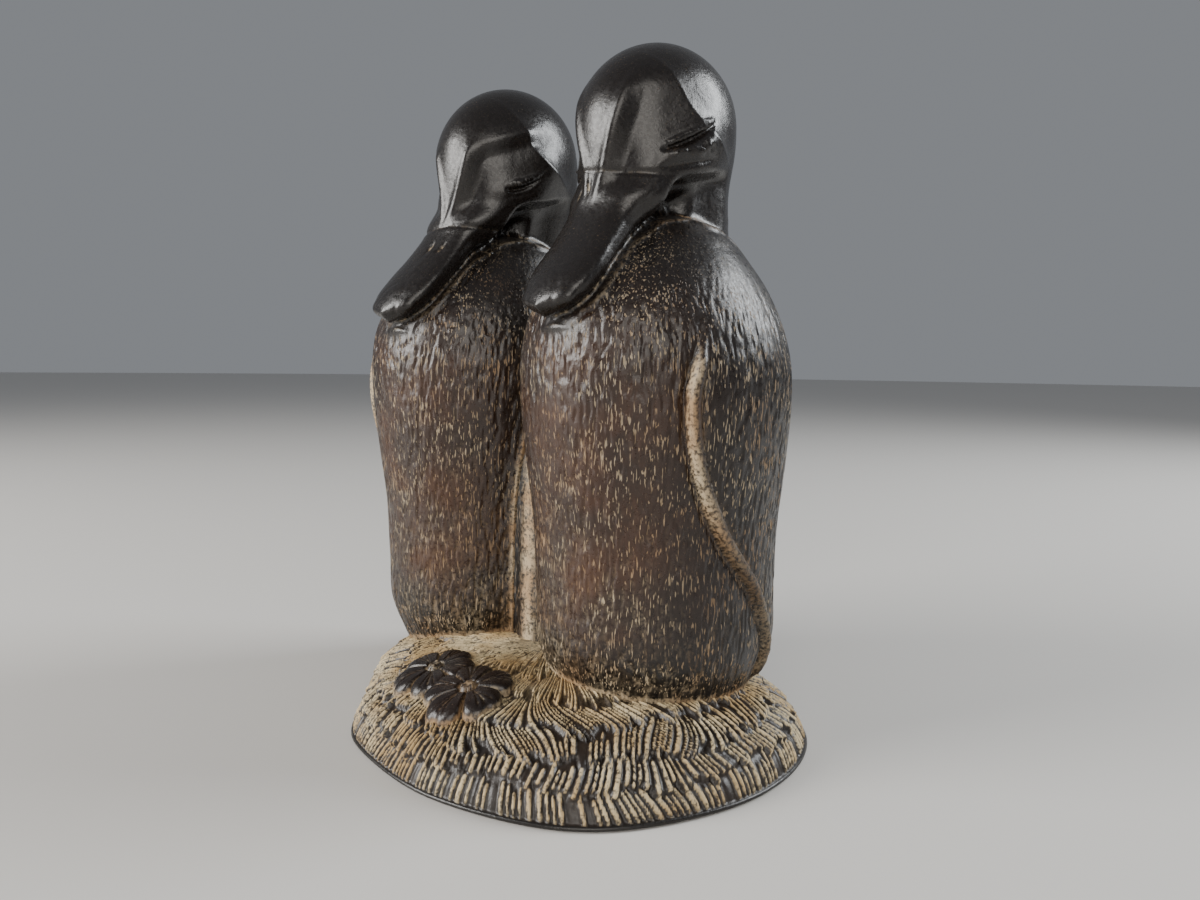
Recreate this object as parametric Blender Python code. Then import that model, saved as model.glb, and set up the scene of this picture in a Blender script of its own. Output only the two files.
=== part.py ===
"""Two resting ducks carved side by side from one block of dark soapstone, on a grassy mound with two flowers.

The ducks face -Y. The origin is on the underside, below the middle of the whole block.
"""
import bmesh
import bpy
import numpy as np

# Driving dimensions, in metres
BIRD_HEIGHT = 0.1120
BIRD_SPACING = 0.0466
STANDING_LEVEL = 0.012
BIRD_SOLE = 0.004
MOUND_WIDTH = 0.0965
MOUND_DEPTH = 0.0785
MOUND_HEIGHT = 0.0140
MOUND_LIP = 0.0009
GRASS_DEPTH = 0.0005
GRASS_SHELF = 0.00045
GRASS_GAP = 0.0004
FLOWER_RADIUS = 0.0078
FLOWER_DEPTH = 0.0016

# A bird is drawn on a grid of this many units from foot to crown, so its form is all shares of its height
GRID = 112.0
UNIT = BIRD_HEIGHT / GRID

# Mesh sizes: voxel and settling steps of each pass over the birds, and the triangles the birds keep
PASSES = ((0.0012, 6), (0.0007, 3))
BIRD_TRIANGLES = 5200
SETTLE_REACH = 0.0015
PROBE = 0.00002
WELD = 0.000002

# Body: height, half width, front reach and back reach as shares of the half width
BODY = (
    (-16.0, 11.5, 1.08, 1.12),
    (-8.0, 15.0, 1.08, 1.12),
    (0.0, 18.4, 1.08, 1.14),
    (5.0, 20.2, 1.08, 1.12),
    (15.0, 20.8, 1.08, 1.10),
    (28.0, 21.4, 1.08, 1.08),
    (38.0, 22.6, 1.08, 1.04),
    (50.0, 23.6, 1.09, 1.00),
    (58.0, 23.4, 1.10, 0.98),
    (65.0, 21.6, 1.12, 0.98),
    (70.5, 18.9, 1.08, 0.98),
    (75.0, 15.8, 1.00, 0.90),
    (78.5, 12.8, 0.94, 0.74),
    (80.8, 9.8, 0.92, 0.60),
    (82.2, 6.0, 0.92, 0.50),
    (83.0, 1.0, 0.92, 0.50),
    (85.5, -9.0, 0.92, 0.50),
)
# Neck: height, half width, front reach and back reach as shares of the half width
NECK = (
    (50.0, 12.0, 0.60, 1.80),
    (62.0, 11.6, 0.60, 1.80),
    (72.0, 10.6, 0.56, 1.80),
    (80.0, 9.8, 0.52, 1.78),
    (88.0, 10.0, 0.56, 1.60),
    (96.0, 9.6, 0.70, 1.40),
    (102.0, 8.0, 0.70, 1.20),
)
# Bill: distance along it, half width, culmen above the axis, keel below the axis
BILL = (
    (-9.0, 10.6, 6.4, 6.4),
    (-4.0, 9.4, 5.6, 6.0),
    (1.0, 8.0, 4.6, 5.6),
    (7.0, 7.0, 3.2, 4.8),
    (14.0, 7.0, 2.2, 4.4),
    (20.0, 7.2, 2.2, 4.2),
    (24.5, 6.3, 2.2, 3.4),
    (27.5, 4.0, 1.6, 2.2),
    (28.7, 0.3, 1.2, 1.6),
    (30.5, -6.0, 1.2, 1.6),
)
BILL_ROOT = (0.0, -10.0, 86.5)
BILL_TIP = (0.0, -27.5, 65.5)

# Head: middle, half sizes and nose-down tilt in degrees
HEAD_MIDDLE = (0.0, -1.0, 97.0)
HEAD_HALF = (12.9, 16.2, 14.6)
HEAD_TILT = 24.0
CHEEK_MIDDLE = (5.2, -4.0, 88.6)
CHEEK_HALF = (6.6, 8.4, 5.2)
TAIL_MIDDLE = (0.0, 20.5, 4.5)
TAIL_HALF = (9.0, 9.0, 3.2)
TAIL_TILT = -24.0

# Each bird: foot, turn of the head to its right in degrees, lean of the head towards +X in units
NEAR_BIRD = {"foot": (0.0173, 0.0074), "turn": 5.0, "lean": 0.0}
FAR_BIRD = {"foot": (0.0173 - BIRD_SPACING, 0.0103), "turn": 0.0, "lean": 6.0}
BIRDS = (NEAR_BIRD, FAR_BIRD)

# Stone left between the two birds: its middle at the underside and its half sizes
WEB_MIDDLE = (NEAR_BIRD["foot"][0] - BIRD_SPACING / 2, 0.0110, 0.0)
WEB_HALF = (0.0090, 0.0125, 0.0660)

# Mound: squareness of its outline and of its side, and how far out its grass starts
MOUND_SQUARE = 2.3
MOUND_POWER = 3.0
TIER_SHARE = 0.985
# Where the outline swells or is dented: direction and spread in degrees, and size as a share
MOUND_SWELLS = ((216.0, 30.0, -0.185), (28.0, 24.0, 0.02), (305.0, 35.0, 0.025))
# Middle of the finished block, measured from the mound's own middle
BLOCK_MIDDLE = (-0.0027616, 0.0003075)

# Softness of the joins, in grid units
CREASE = 1.5
NAPE = 5.0


def curve_through(at, knots, values):
    """A cubic through the knots, each with the slope of its neighbours, and straight on past the ends."""
    knots = np.asarray(knots, float)
    values = np.asarray(values, float)
    slopes = np.gradient(values, knots)
    i = np.clip(np.searchsorted(knots, at) - 1, 0, len(knots) - 2)
    span = knots[i + 1] - knots[i]
    t = np.clip((at - knots[i]) / span, 0.0, 1.0)
    cubic = (
        values[i] * (1 + 2 * t) * (1 - t) ** 2
        + values[i + 1] * t * t * (3 - 2 * t)
        + span * (slopes[i] * t * (1 - t) ** 2 - slopes[i + 1] * t * t * (1 - t))
    )
    below = np.minimum(at - knots[0], 0.0) * slopes[0]
    above = np.maximum(at - knots[-1], 0.0) * slopes[-1]
    return cubic + below + above


def rise(value, low, high):
    """0 below low, 1 above high and an S-curve between."""
    t = np.clip((value - low) / (high - low), 0.0, 1.0)
    return t * t * (3 - 2 * t)


def blend(a, b, softness):
    """The union of two fields, with a fillet of about the softness."""
    near = np.maximum(softness - np.abs(a - b), 0.0)
    return np.minimum(a, b) - near * near / (4.0 * softness)


def turned(p, middle, degrees, axis):
    """Points seen from a frame that is turned about an axis (0, 1 or 2) through a middle."""
    angle = np.radians(degrees)
    u, v = [k for k in range(3) if k != axis]
    q = p - np.asarray(middle)
    out = q.copy()
    out[:, u] = np.cos(angle) * q[:, u] + np.sin(angle) * q[:, v]
    out[:, v] = np.cos(angle) * q[:, v] - np.sin(angle) * q[:, u]
    return out


def egg(q, half):
    """Distance to an ellipsoid round the origin, near its surface."""
    half = np.asarray(half)
    length = np.linalg.norm(q / half, axis=1)
    slope = np.linalg.norm(q / half ** 2, axis=1)
    return length * (length - 1.0) / np.maximum(slope, 1e-9)


def stack(p, stations):
    """Distance to a pile of ovals along Z, each with its own half width, front and back."""
    z = p[:, 2]
    knots, wide, front, back = np.transpose(stations)
    half = curve_through(z, knots, wide)
    lean = (curve_through(z + 0.5, knots, wide) - curve_through(z - 0.5, knots, wide))
    reach = np.where(p[:, 1] < 0, curve_through(z, knots, front), curve_through(z, knots, back))
    round_ = np.hypot(p[:, 0], p[:, 1] / reach)
    return (round_ - half) / np.sqrt(1.0 + lean * lean)


def bill_axes():
    root = np.array(BILL_ROOT)
    along = np.array(BILL_TIP) - root
    along = along / np.linalg.norm(along)
    side = np.array((1.0, 0.0, 0.0))
    return root, along, side, np.cross(along, side)


def bill_place(q):
    """How far along, to the side of and above the bill's axis each point is."""
    root, along, side, above = bill_axes()
    d = q - root
    return d @ along, d @ side, d @ above


def bill_field(q):
    t, s, n = bill_place(q)
    knots, wide, culmen, keel = np.transpose(BILL)
    half = curve_through(t, knots, wide)
    lean = curve_through(t + 0.5, knots, wide) - curve_through(t - 0.5, knots, wide)
    tall = np.where(n > 0, curve_through(t, knots, culmen), curve_through(t, knots, keel))
    tall = np.maximum(tall, 0.3)
    shrink = np.minimum(half / tall, 2.2)
    round_ = np.hypot(s, n * np.maximum(half, 0.5) / tall)
    field = (round_ - half) / np.sqrt(shrink ** 2 * 0.5 + lean * lean + 0.5)
    return np.maximum(field, BILL[0][0] - t)


def bird_frame(p, bird):
    """World points in the bird's grid, with the head's lean taken out."""
    foot = np.array((*bird["foot"], STANDING_LEVEL))
    q = (p - foot) / UNIT
    q[:, 0] -= bird["lean"] * rise(q[:, 2], 60.0, 95.0)
    return q


def bird_field(p, bird):
    """Distance to one bird, in metres, and the points in its body's and its head's grids."""
    q = bird_frame(p, bird)
    h = turned(q, (0.0, 2.0, 0.0), -bird["turn"], 2) + (0.0, 2.0, 0.0)
    body = stack(q, BODY)
    neck = np.maximum(stack(q, NECK), 60.0 - q[:, 2])
    neck = np.maximum(neck, q[:, 2] - 96.0)
    head = egg(turned(h, HEAD_MIDDLE, HEAD_TILT, 0), HEAD_HALF)
    mirrored = np.abs(h[:, :1])
    cheek = egg(np.hstack((mirrored, h[:, 1:])) - CHEEK_MIDDLE, CHEEK_HALF)
    head = blend(head, cheek, 3.0)
    head = blend(head, bill_field(h), 4.0)
    soft = CREASE + (NAPE - CREASE) * rise(q[:, 1], 5.0, 14.0)
    field = blend(neck, head, soft)
    field = blend(body, field, soft)
    tail = egg(turned(q, TAIL_MIDDLE, TAIL_TILT, 0), TAIL_HALF)
    field = blend(field, tail, 2.5)
    return field * UNIT, q, h


def mound_outline(angle):
    """How far the mound's edge lies from the middle, before it is fitted to its width and depth."""
    tall = np.abs(np.sin(angle) * MOUND_WIDTH / MOUND_DEPTH)
    ellipse = (np.abs(np.cos(angle)) ** MOUND_SQUARE + tall ** MOUND_SQUARE) ** (-1 / MOUND_SQUARE)
    swell = 0.008 * np.sin(5 * angle + 0.6) + 0.006 * np.sin(9 * angle + 2.0)
    for towards, spread, size in MOUND_SWELLS:
        off = (np.degrees(angle) - towards + 180.0) % 360.0 - 180.0
        swell = swell + size * np.exp(-((off / spread) ** 2))
    return ellipse * (1.0 + swell)


def fitted_outline():
    """The scale and shift on each axis that bring the outline to its width and depth round the origin."""
    angle = np.linspace(0.0, 2 * np.pi, 1441)
    r = mound_outline(angle)
    x = r * np.cos(angle)
    y = r * np.sin(angle)
    fit = []
    for line, size in ((x, MOUND_WIDTH), (y, MOUND_DEPTH)):
        fit.append((size / (line.max() - line.min()), (line.max() + line.min()) / 2))
    return fit


OUTLINE_FIT = fitted_outline()


def on_mound(share, angle):
    """The x and y of points at a share of the way out to the mound's edge."""
    (scale_x, shift_x), (scale_y, shift_y) = OUTLINE_FIT
    edge = mound_outline(angle) * share
    return (edge * np.cos(angle) - shift_x) * scale_x, (edge * np.sin(angle) - shift_y) * scale_y


def mound_top(x, y):
    """The height of the mound's smooth top at x and y."""
    (scale_x, shift_x), (scale_y, shift_y) = OUTLINE_FIT
    plain_x = x / scale_x + shift_x
    plain_y = y / scale_y + shift_y
    share = np.hypot(plain_x, plain_y) / mound_outline(np.arctan2(plain_y, plain_x))
    return MOUND_HEIGHT * np.sqrt(np.clip(1.0 - share ** MOUND_POWER, 0.0, 1.0))


def web_field(p):
    """Distance to the stone that joins the birds' sides behind the crease between them."""
    return egg(p - WEB_MIDDLE, WEB_HALF)


def pair_field(p):
    """Distance to the two birds without their finer carving, and to each bird, with its grid points."""
    near, near_q, near_h = bird_field(p, NEAR_BIRD)
    far, far_q, far_h = bird_field(p, FAR_BIRD)
    pair = blend(near, far, CREASE * UNIT)
    pair = blend(pair, web_field(p), 2 * CREASE * UNIT)
    return pair, (near, near_q, near_h), (far, far_q, far_h)


# Wing: height and the angle of its front edge, from straight out to the side towards the back
WING_EDGE = (
    (0.0, 44.0),
    (2.0, 36.0),
    (7.0, 15.0),
    (13.0, 0.0),
    (21.0, -12.0),
    (28.0, -24.0),
    (38.0, -35.0),
    (50.0, -39.0),
    (58.0, -37.0),
    (62.0, -35.0),
)
WING_TOP = (50.0, 70.0)
WING_LIP_TOP = (55.0, 61.0)
WING_LIFT = 0.7
WING_LIP = 1.1
WING_LIP_WIDTH = 2.4
WING_STEP = 1.1
WING_SEAM_FOOT = (8.0, 22.0)
WING_SEAM_TOP = (34.0, 58.0)
WING_SEAM_WIDTH = 2.4
WING_SEAM_DEPTH = 0.6

# Face, in the head's grid: the eye's slit as an arc, and the line round the bill's root
EYE_MIDDLE = (-6.5, 94.6)
EYE_HALF_LENGTH = 5.0
EYE_SLOPE = 0.45
EYE_SAG = 0.035
BILL_LINE = 1.0
BILL_LINE_SWEEP = 0.05

# Grass: chisel cuts round the mound, the share of the way out where they reach full depth,
# and the tiers' edges as shares of the way down its side
GRASS_CUTS = 76
GRASS_FULL = 0.6
GRASS_TIERS = (0.06, 0.16, 0.30, 0.46, 0.62, 0.78, 0.93)

# Flowers on the mound: middle from the mound's middle, size as a share, turn in degrees
FLOWERS = (
    ((-0.0092, -0.0226), 0.95, 20.0),
    ((0.0025, -0.0252), 1.00, 55.0),
)
PETALS = 5
PETAL_POINTS = 6

# Rings of a flower: share of its outline, height as a share of its depth, cut of the petals' midribs
FLOWER_RINGS = (
    (0.90, -1.70, 0.0),
    (1.00, 0.55, 0.0),
    (0.90, 1.00, 0.0),
    (0.55, 0.70, 0.30),
    (0.19, 0.30, 0.20),
    (0.11, 0.75, 0.0),
)


def groove(distance, width):
    """1 along a line and falling away over the width."""
    return np.exp(-((distance / width) ** 2))


def wing_relief(q):
    """The raised wing behind its front edge, in grid units, the same on both sides."""
    z = q[:, 2]
    angle = np.degrees(np.arctan2(q[:, 1], np.abs(q[:, 0])))
    reach = np.radians(np.hypot(q[:, 0], q[:, 1]))
    knots, edges = np.transpose(WING_EDGE)
    slant = (curve_through(z + 0.5, knots, edges) - curve_through(z - 0.5, knots, edges)) * reach
    behind = (angle - curve_through(z, knots, edges)) * reach / np.sqrt(1.0 + slant * slant)
    lip = groove(np.maximum(behind, 0.0), WING_LIP_WIDTH) * (1.0 - rise(z, *WING_LIP_TOP))
    plate = 1.0 - rise(z, *WING_TOP)
    lift = rise(behind, -WING_STEP, WING_STEP) * (WING_LIFT * plate + WING_LIP * lip)
    seam = groove((90.0 - angle) * reach, WING_SEAM_WIDTH)
    seam = seam * rise(z, *WING_SEAM_FOOT) * (1.0 - rise(z, *WING_SEAM_TOP))
    return (lift - WING_SEAM_DEPTH * seam) * rise(z, -1.0, 1.5)


def face_relief(h):
    """The closed eye, the cheek under it, the line round the bill's root and the nostrils, in grid units."""
    on_side = rise(np.abs(h[:, 0]), 6.0, 9.0)
    along = h[:, 1] - EYE_MIDDLE[0]
    arc = h[:, 2] - EYE_MIDDLE[1] - EYE_SLOPE * along - EYE_SAG * along * along
    ends = 1.0 - rise(np.abs(along), EYE_HALF_LENGTH - 1.5, EYE_HALF_LENGTH + 0.8)
    slit = -1.0 * groove(arc, 0.9)
    lid = 0.4 * groove(arc - 2.2, 1.4)
    pad = 0.7 * groove(arc + 2.4, 1.5)
    eye = on_side * ends * (slit + lid + pad)
    t, s, n = bill_place(h)
    line = t - BILL_LINE + BILL_LINE_SWEEP * s * s
    line = -0.35 * groove(line, 0.8) * rise(n, -3.0, 0.0)
    nostril = np.hypot((t - 5.5) / 1.6, (np.abs(s) - 2.6) / 0.8)
    nostril = -0.6 * np.exp(-nostril ** 2) * rise(n, 0.0, 1.5)
    return eye + line + nostril


def carved_field(p):
    """Distance to the carved birds: the plain pair less its relief."""
    pair, near, far = pair_field(p)
    relief = np.zeros(len(p))
    for own, other in ((near, far), (far, near)):
        mine = rise(other[0] - own[0], -0.0002, 0.001)
        relief += mine * (wing_relief(own[1]) + face_relief(own[2]) * rise(own[2][:, 2], 60, 66)) * UNIT
    return pair - relief


def settle(points, field, steps):
    """Moves points onto a field's surface, a little at a time along its slope."""
    points = points.copy()
    for _ in range(steps):
        level = field(points)
        slope = np.empty_like(points)
        for axis in range(3):
            probe = points.copy()
            probe[:, axis] += PROBE
            slope[:, axis] = (field(probe) - level) / PROBE
        steep = np.maximum((slope ** 2).sum(axis=1), 0.05)
        move = slope * (level / steep)[:, None]
        size = np.linalg.norm(move, axis=1)
        points -= move * np.minimum(1.0, SETTLE_REACH / np.maximum(size, 1e-12))[:, None]
    return points


def skin(bm, rings):
    """A closed skin over rings of the same number of points, capped at both ends."""
    loops = [[bm.verts.new(point) for point in ring] for ring in rings]
    count = len(loops[0])
    for low, high in zip(loops, loops[1:]):
        for k in range(count):
            bm.faces.new((low[k], low[(k + 1) % count], high[(k + 1) % count], high[k]))
    bm.faces.new(loops[0][::-1])
    bm.faces.new(loops[-1])


def to_world(points, bird, in_head=False):
    """Grid points of a bird back in the world."""
    q = np.array(points, float)
    if in_head:
        q = turned(q, (0.0, 2.0, 0.0), bird["turn"], 2) + (0.0, 2.0, 0.0)
    q[:, 0] += bird["lean"] * rise(q[:, 2], 60.0, 95.0)
    return q * UNIT + np.array((*bird["foot"], STANDING_LEVEL))


def pile_rings(stations, sides=40):
    angle = np.arange(sides) * 2 * np.pi / sides
    rings = []
    for z, half, front, back in stations:
        if half > 0.4:
            reach = half * np.where(np.sin(angle) < 0, front, back)
            rings.append(np.column_stack((half * np.cos(angle), reach * np.sin(angle), np.full(sides, z))))
    return rings


def bill_rings(sides=32):
    root, along, side, above = bill_axes()
    angle = np.arange(sides) * 2 * np.pi / sides
    rings = []
    for t, half, culmen, keel in BILL:
        if half > 0.2:
            tall = np.where(np.sin(angle) > 0, culmen, keel)
            across = np.outer(half * np.cos(angle), side)
            rings.append(root + along * t + across + np.outer(tall * np.sin(angle), above))
    return rings


def egg_points(middle, half, tilt=0.0):
    """Rings of an ellipsoid, from its bottom to its top."""
    angle = np.arange(32) * 2 * np.pi / 32
    rings = []
    for rung in np.linspace(-84.0, 84.0, 15):
        flat = np.cos(np.radians(rung))
        tall = np.full(len(angle), np.sin(np.radians(rung)))
        ring = np.column_stack((np.cos(angle) * flat, np.sin(angle) * flat, tall))
        rings.append(turned(ring * half, (0, 0, 0), -tilt, 0) + middle)
    return rings


def tier_wave(angle, tier):
    """How far the edge of a tier of grass waves up and down the side."""
    return 0.012 * np.sin(5 * angle + 2.0 * tier) + 0.010 * np.sin(11 * angle + tier)


def mound_rings():
    """Rings from the underside up: the smooth lip, then tiers of radial chisel cuts up to the top."""
    count = 2 * GRASS_CUTS
    index = np.arange(count)
    plain = index * 2 * np.pi / count
    column = 2 * np.pi / count
    rings = []
    for z, share in ((0.0, 0.985), (MOUND_LIP, 0.995)):
        rings.append(np.column_stack((*on_mound(share, plain), np.full(count, z))))
    shift = np.zeros(count)
    for tier in range(len(GRASS_TIERS) - 1, 0, -1):
        low = GRASS_TIERS[tier] + tier_wave(plain, tier)
        high = GRASS_TIERS[tier - 1] + tier_wave(plain, tier - 1) + GRASS_GAP / MOUND_HEIGHT
        slant = 0.8 * np.sin(1.9 * tier + 2 * plain) + 0.1 * np.sin(9 * plain + tier)
        ridge = np.where((index + tier) % 2 == 0, 1.0, -1.0) * (0.8 + 0.2 * np.sin(3.7 * index + 2.1 * tier))
        for down, lift, turn in ((low, GRASS_SHELF, 0.0), (high, -GRASS_SHELF, 1.0)):
            steep = down * np.pi / 2
            share = TIER_SHARE * np.sin(steep) ** (2 / MOUND_POWER)
            z = MOUND_HEIGHT * np.cos(steep)
            angle = plain + (shift + slant * turn) * column
            x, y = on_mound(share, angle)
            out = MOUND_POWER * share ** (MOUND_POWER - 1) / np.hypot(x, y)
            up = 2 * z / MOUND_HEIGHT ** 2
            size = (lift + GRASS_DEPTH * ridge * np.minimum(share / GRASS_FULL, 1.0)) / np.hypot(out, up)
            x = x * (1 + size * out / np.hypot(x, y))
            y = y * (1 + size * out / np.hypot(x, y))
            rings.append(np.column_stack((x, y, z + size * up)))
        shift = shift + slant
    return rings


def flower_rings(middle, size, turn):
    """Rings of one open flower with notched petals round a button, laid on the mound's slope."""
    angle = np.arange(PETALS * PETAL_POINTS) * 2 * np.pi / (PETALS * PETAL_POINTS)
    across = np.abs(np.cos(PETALS * angle / 2))
    outline = 0.42 + 0.58 * across ** 0.5 - 0.14 * across ** 16
    rings = []
    for share, height, rib in FLOWER_RINGS:
        reach = FLOWER_RADIUS * size * share * (outline if share > 0.3 else 1.0)
        x = middle[0] + reach * np.cos(angle + np.radians(turn))
        y = middle[1] + reach * np.sin(angle + np.radians(turn))
        z = mound_top(x, y) + FLOWER_DEPTH * (height - rib * across ** 12)
        rings.append(np.column_stack((x, y, z)))
    return rings


def rough_pair():
    """The overlapping forms of the birds, in one mesh."""
    bm = bmesh.new()
    skin(bm, [ring for ring in egg_points(WEB_MIDDLE, WEB_HALF) if ring[0, 2] > -WEB_HALF[2] / 5])
    for bird in BIRDS:
        skin(bm, [to_world(ring, bird) for ring in pile_rings(BODY)])
        skin(bm, [to_world(ring, bird) for ring in pile_rings(NECK[1:])])
        skin(bm, [to_world(ring, bird) for ring in egg_points(TAIL_MIDDLE, TAIL_HALF, TAIL_TILT)])
        skin(bm, [to_world(ring, bird, True) for ring in egg_points(HEAD_MIDDLE, HEAD_HALF, HEAD_TILT)])
        skin(bm, [to_world(ring, bird, True) for ring in bill_rings()])
    return finished(bm, "rough_pair")


def finished(bm, name):
    """A mesh of triangles that all face out."""
    bmesh.ops.triangulate(bm, faces=bm.faces)
    bmesh.ops.recalc_face_normals(bm, faces=bm.faces)
    mesh = bpy.data.meshes.new(name)
    bm.to_mesh(mesh)
    bm.free()
    return mesh


def ringed(rings, name):
    bm = bmesh.new()
    skin(bm, rings)
    return finished(bm, name)


def evaluated(obj):
    """A new mesh with the object's modifiers applied."""
    graph = bpy.context.evaluated_depsgraph_get()
    graph.update()
    return bpy.data.meshes.new_from_object(obj.evaluated_get(graph))


def points_of(mesh):
    flat = np.empty(len(mesh.vertices) * 3)
    mesh.vertices.foreach_get("co", flat)
    return flat.reshape(-1, 3)


def placed(name, mesh):
    obj = bpy.data.objects.new(name, mesh)
    bpy.context.scene.collection.objects.link(obj)
    return obj


def applied(obj, modifier):
    obj.data = evaluated(obj)
    obj.modifiers.remove(modifier)


def carved_birds(obj):
    """Turns the rough pair into one skin that lies on the carved field."""
    for size, steps in PASSES:
        remesh = obj.modifiers.new("one skin", "REMESH")
        remesh.mode = "VOXEL"
        remesh.voxel_size = size
        applied(obj, remesh)
        carved = settle(points_of(obj.data), carved_field, steps)
        obj.data.vertices.foreach_set("co", carved.ravel())
        obj.data.update()
    fewer = obj.modifiers.new("fewer faces", "DECIMATE")
    fewer.ratio = BIRD_TRIANGLES / (2 * len(obj.data.polygons))
    applied(obj, fewer)
    bm = bmesh.new()
    bm.from_mesh(obj.data)
    whole = bm.verts[:] + bm.edges[:] + bm.faces[:]
    bmesh.ops.bisect_plane(bm, geom=whole, plane_co=(0, 0, BIRD_SOLE), plane_no=(0, 0, -1), clear_outer=True)
    bmesh.ops.contextual_create(bm, geom=[edge for edge in bm.edges if edge.is_boundary])
    bmesh.ops.triangulate(bm, faces=bm.faces)
    bm.to_mesh(obj.data)
    bm.free()


def joined(obj, mesh):
    """Adds a closed form to the object, as one skin."""
    other = placed("form", mesh)
    union = obj.modifiers.new("union", "BOOLEAN")
    union.operation = "UNION"
    union.solver = "EXACT"
    union.object = other
    applied(obj, union)
    bpy.data.objects.remove(other)


def carved_block():
    obj = placed("duck_pair", rough_pair())
    carved_birds(obj)
    joined(obj, ringed(mound_rings(), "mound"))
    for flower in FLOWERS:
        joined(obj, ringed(flower_rings(*flower), "flower"))
    bm = bmesh.new()
    bm.from_mesh(obj.data)
    bmesh.ops.remove_doubles(bm, verts=bm.verts, dist=WELD)
    bmesh.ops.triangulate(bm, faces=bm.faces)
    bmesh.ops.translate(bm, verts=bm.verts, vec=(-BLOCK_MIDDLE[0], -BLOCK_MIDDLE[1], 0.0))
    bm.to_mesh(obj.data)
    bm.free()
    return obj


def soapstone():
    """Almost black, polished stone with a warm tint."""
    material = bpy.data.materials.new("dark soapstone")
    material.use_nodes = True
    shader = material.node_tree.nodes["Principled BSDF"]
    shader.inputs["Base Color"].default_value = (0.030, 0.021, 0.017, 1.0)
    shader.inputs["Roughness"].default_value = 0.32
    shader.inputs["Metallic"].default_value = 0.0
    return material


def main():
    for obj in list(bpy.data.objects):
        bpy.data.objects.remove(obj)
    block = carved_block()
    block.data.materials.clear()
    block.data.materials.append(soapstone())
    block.data.shade_smooth()
    block.data.set_sharp_from_angle(angle=np.radians(50.0))


main()
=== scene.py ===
"""Two resting ducks of dark soapstone on a grassy mound, dressed in their fine carving and their patina,
with some highlights and a warm reflection painted into their colours.

The ducks and the mound are the same fields and rings as in the CAD model, laid on finer meshes, with
the feather strokes, the faces, the chiselled grass and the flowers' petals cut into them. Sizes in a
bird are grid units, which are millimetres here, and every other size is in metres.
"""

import bmesh
import bpy
import mathutils
import numpy as np
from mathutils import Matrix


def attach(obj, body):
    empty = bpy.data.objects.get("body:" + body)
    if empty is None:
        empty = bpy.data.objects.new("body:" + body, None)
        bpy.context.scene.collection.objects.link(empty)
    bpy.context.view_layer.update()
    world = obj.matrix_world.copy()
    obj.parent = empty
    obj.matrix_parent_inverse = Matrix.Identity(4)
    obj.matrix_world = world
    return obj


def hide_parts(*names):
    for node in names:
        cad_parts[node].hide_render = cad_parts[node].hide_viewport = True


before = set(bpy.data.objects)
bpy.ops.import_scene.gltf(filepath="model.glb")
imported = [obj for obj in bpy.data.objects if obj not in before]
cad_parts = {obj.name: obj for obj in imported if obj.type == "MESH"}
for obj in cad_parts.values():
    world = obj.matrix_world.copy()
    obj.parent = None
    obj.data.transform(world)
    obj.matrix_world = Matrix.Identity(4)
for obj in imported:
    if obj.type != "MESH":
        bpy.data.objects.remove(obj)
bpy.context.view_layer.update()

# Driving dimensions of the CAD model, in metres, and the middle of its box, which comes to lie at the origin
BIRD_HEIGHT = 0.1120
BIRD_SPACING = 0.0466
STANDING_LEVEL = 0.012
MOUND_WIDTH = 0.0965
MOUND_DEPTH = 0.0785
MOUND_HEIGHT = 0.0140
MOUND_LIP = 0.0009
FLOWER_RADIUS = 0.0078
FLOWER_DEPTH = 0.0016
BLOCK_MIDDLE = np.array((-0.0027616, 0.0003075, 0.0))

# One grid unit of a bird, and the heights between which its head leans over
UNIT = BIRD_HEIGHT / 112.0
LEAN_RISE = (60.0, 95.0)

# Body: height, half width, front reach and back reach as shares of the half width
BODY = (
    (-16.0, 11.5, 1.08, 1.12),
    (-8.0, 15.0, 1.08, 1.12),
    (0.0, 18.4, 1.08, 1.14),
    (5.0, 20.2, 1.08, 1.12),
    (15.0, 20.8, 1.08, 1.10),
    (28.0, 21.4, 1.08, 1.08),
    (38.0, 22.6, 1.08, 1.04),
    (50.0, 23.6, 1.09, 1.00),
    (58.0, 23.4, 1.10, 0.98),
    (65.0, 21.6, 1.12, 0.98),
    (70.5, 18.9, 1.08, 0.98),
    (75.0, 15.8, 1.00, 0.90),
    (78.5, 12.8, 0.94, 0.74),
    (80.8, 9.8, 0.92, 0.60),
    (82.2, 6.0, 0.92, 0.50),
    (83.0, 1.0, 0.92, 0.50),
    (85.5, -9.0, 0.92, 0.50),
)

# Neck: height, half width, front reach and back reach as shares of the half width
NECK = (
    (50.0, 12.0, 0.60, 1.80),
    (62.0, 11.6, 0.60, 1.80),
    (72.0, 10.6, 0.56, 1.80),
    (80.0, 9.8, 0.52, 1.78),
    (88.0, 10.0, 0.56, 1.60),
    (96.0, 9.6, 0.70, 1.40),
    (102.0, 8.0, 0.70, 1.20),
)
NECK_ENDS = (60.0, 96.0)

# Bill: distance along it, half width, culmen above the axis, keel below the axis
BILL = (
    (-9.0, 10.6, 6.4, 6.4),
    (-4.0, 9.4, 5.6, 6.0),
    (1.0, 8.0, 4.6, 5.6),
    (7.0, 7.0, 3.2, 4.8),
    (14.0, 7.0, 2.2, 4.4),
    (20.0, 7.2, 2.2, 4.2),
    (24.5, 6.3, 2.2, 3.4),
    (27.5, 4.0, 1.6, 2.2),
    (28.7, 0.3, 1.2, 1.6),
    (30.5, -6.0, 1.2, 1.6),
)

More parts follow.
